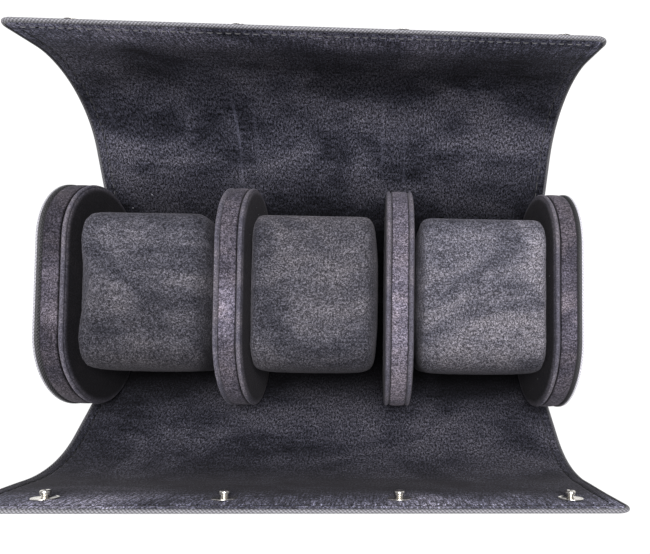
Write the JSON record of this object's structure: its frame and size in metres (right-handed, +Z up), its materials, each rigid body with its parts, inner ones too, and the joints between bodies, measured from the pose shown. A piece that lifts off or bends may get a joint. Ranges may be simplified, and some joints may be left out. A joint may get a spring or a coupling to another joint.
{
  "type": "watch travel case",
  "caption": "Open watch roll with a soft leather wrap, oval end discs, suede dividers, lift-out pillows, and ball studs that snap the two flaps shut.",
  "frame": {"origin": "middle of the flat underside of the base", "axes": "+X along the roll across the slots, +Y towards the back flap, +Z up out of the open case"},
  "size_m": [0.22, 0.1778, 0.1017],
  "materials": {
    "leather_outer": "fine cross-grain, satin",
    "suede": "brushed nap, matte",
    "board": "raw fibre board",
    "foam": "open foam, matte",
    "metal": "bright nickel plate"
  },
  "bodies": {
    "base": {"base_leather": "leather_outer", "base_board": "board", "base_lining": "suede", "left_disc_left_panel": "leather_outer", "left_disc_right_panel": "suede", "left_disc_strip": "suede", "left_disc_core": "foam", "divider_1_left_panel": "suede", "divider_1_right_panel": "suede", "divider_1_strip": "suede", "divider_1_core": "foam", "divider_2_left_panel": "suede", "divider_2_right_panel": "suede", "divider_2_strip": "suede", "divider_2_core": "foam", "right_disc_left_panel": "suede", "right_disc_right_panel": "leather_outer", "right_disc_strip": "suede", "right_disc_core": "foam"},
    "back_flap_1": {"back_flap_1_leather": "leather_outer", "back_flap_1_board": "board", "back_flap_1_lining": "suede"},
    "back_flap_2": {"back_flap_2_leather": "leather_outer", "back_flap_2_board": "board", "back_flap_2_lining": "suede"},
    "back_flap_3": {"back_flap_3_leather": "leather_outer", "back_flap_3_board": "board", "back_flap_3_lining": "suede", "snap_sockets": "metal", "socket_springs": "metal", "socket_eyelets": "metal"},
    "front_flap_1": {"front_flap_1_leather": "leather_outer", "front_flap_1_board": "board", "front_flap_1_lining": "suede"},
    "front_flap_2": {"front_flap_2_leather": "leather_outer", "front_flap_2_board": "board", "front_flap_2_lining": "suede"},
    "front_flap_3": {"front_flap_3_leather": "leather_outer", "front_flap_3_board": "board", "front_flap_3_lining": "suede"},
    "front_flap_4": {"front_flap_4_leather": "leather_outer", "front_flap_4_board": "board", "front_flap_4_lining": "suede", "snap_studs": "metal", "stud_caps": "metal"},
    "pillow_1": {"pillow_1_cover": "suede", "pillow_1_foam": "foam"},
    "pillow_2": {"pillow_2_cover": "suede", "pillow_2_foam": "foam"},
    "pillow_3": {"pillow_3_cover": "suede", "pillow_3_foam": "foam"}
  },
  "joints": [
    {"name": "back_flap_bend_1", "type": "hinge", "parent": "base", "child": "back_flap_1", "pos_m": [0, 0.03891, 0.009], "axis": [-1, 0, 0], "range_deg": [-28, 8], "stiffness_Nm_per_rad": 1.5},
    {"name": "back_flap_bend_2", "type": "hinge", "parent": "back_flap_1", "child": "back_flap_2", "pos_m": [0, 0.05263, 0.01511], "axis": [-1, 0, 0], "range_deg": [-28, 8], "stiffness_Nm_per_rad": 1.5},
    {"name": "back_flap_bend_3", "type": "hinge", "parent": "back_flap_2", "child": "back_flap_3", "pos_m": [0, 0.06635, 0.02121], "axis": [-1, 0, 0], "range_deg": [-28, 8], "stiffness_Nm_per_rad": 1.5},
    {"name": "front_flap_bend_1", "type": "hinge", "parent": "base", "child": "front_flap_1", "pos_m": [0, -0.0445, 0.0158], "axis": [1, 0, 0], "range_deg": [-21.6, 8], "stiffness_Nm_per_rad": 1.5},
    {"name": "front_flap_bend_2", "type": "hinge", "parent": "front_flap_1", "child": "front_flap_2", "pos_m": [0, -0.05199, 0.02304], "axis": [1, 0, 0], "range_deg": [-19.4, 7.19], "stiffness_Nm_per_rad": 1.5},
    {"name": "front_flap_bend_3", "type": "hinge", "parent": "front_flap_2", "child": "front_flap_3", "pos_m": [0, -0.06173, 0.03244], "axis": [1, 0, 0], "range_deg": [-15, 5.56], "stiffness_Nm_per_rad": 1.5},
    {"name": "front_flap_bend_4", "type": "hinge", "parent": "front_flap_3", "child": "front_flap_4", "pos_m": [0, -0.07752, 0.06716], "axis": [1, 0, 0], "range_deg": [-30.9, 11.45], "stiffness_Nm_per_rad": 1.5},
    {"name": "pillow_1_lift", "type": "slide", "parent": "base", "child": "pillow_1", "axis": [0, 0, 1], "range_m": [0, 0.06]},
    {"name": "pillow_2_lift", "type": "slide", "parent": "base", "child": "pillow_2", "axis": [0, 0, 1], "range_m": [0, 0.06]},
    {"name": "pillow_3_lift", "type": "slide", "parent": "base", "child": "pillow_3", "axis": [0, 0, 1], "range_m": [0, 0.06]}
  ],
  "couplings": [
    {"joint": "back_flap_bend_2", "follows": "back_flap_bend_1", "ratio": 1},
    {"joint": "back_flap_bend_3", "follows": "back_flap_bend_1", "ratio": 1},
    {"joint": "front_flap_bend_2", "follows": "front_flap_bend_1", "ratio": 0.89815},
    {"joint": "front_flap_bend_3", "follows": "front_flap_bend_1", "ratio": 0.69444},
    {"joint": "front_flap_bend_4", "follows": "front_flap_bend_1", "ratio": 1.4306}
  ]
}
